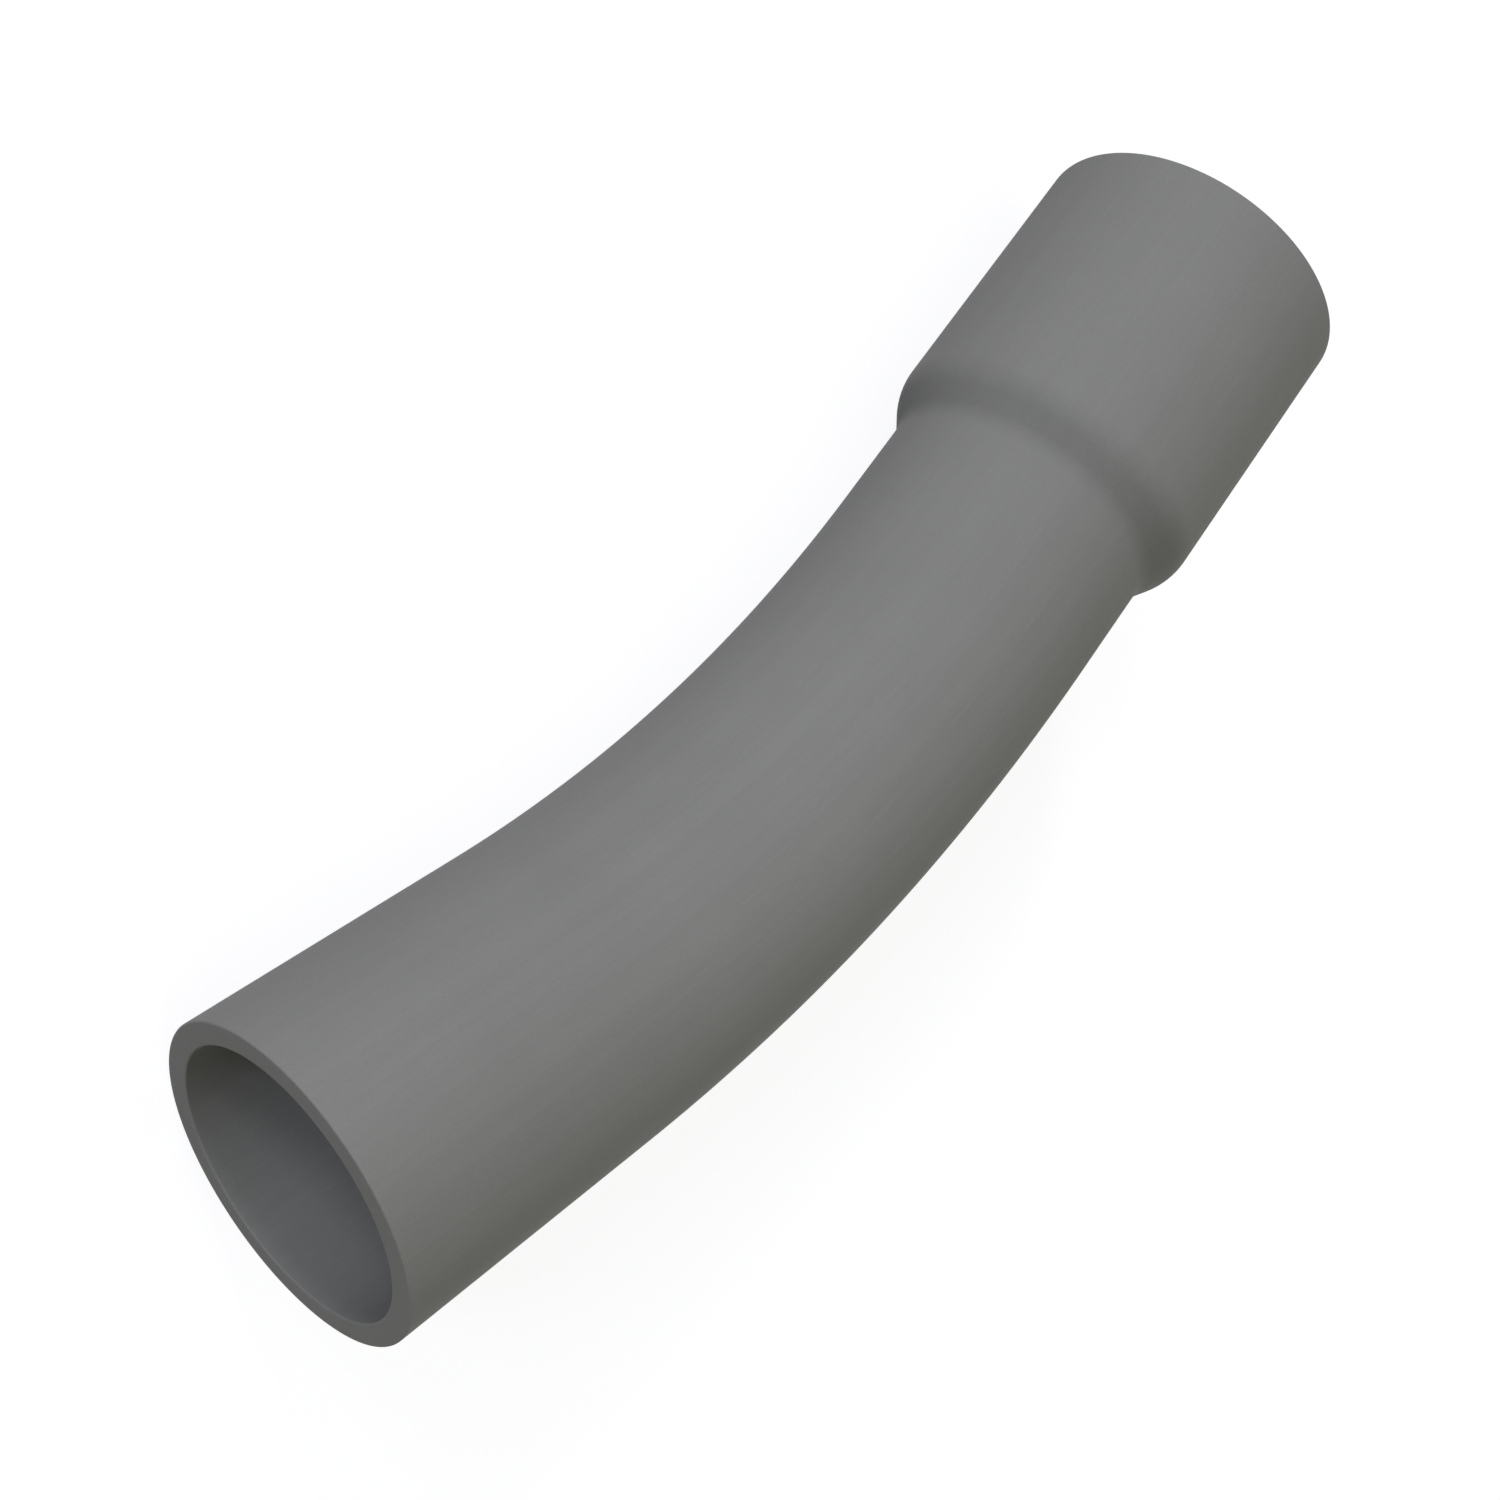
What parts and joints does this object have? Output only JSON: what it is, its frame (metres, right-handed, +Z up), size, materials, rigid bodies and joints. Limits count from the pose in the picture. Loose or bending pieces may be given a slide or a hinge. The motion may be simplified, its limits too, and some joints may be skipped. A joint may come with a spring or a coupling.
{
  "type": "pipe elbow",
  "caption": "Grey rigid PVC pipe elbow: one pipe bent through a shallow angle, with a plain spigot end and a belled socket end.",
  "frame": {"origin": "centre of the spigot's end face, 31.5 mm above the ground that the elbow lies on", "axes": "+Z up; +X along the spigot into the pipe; the bend turns towards +Y"},
  "size_m": [0.2837, 0.1428, 0.0755],
  "materials": {
    "pvc": "satin"
  },
  "bodies": {
    "root": {"elbow": "pvc"}
  },
  "joints": []
}
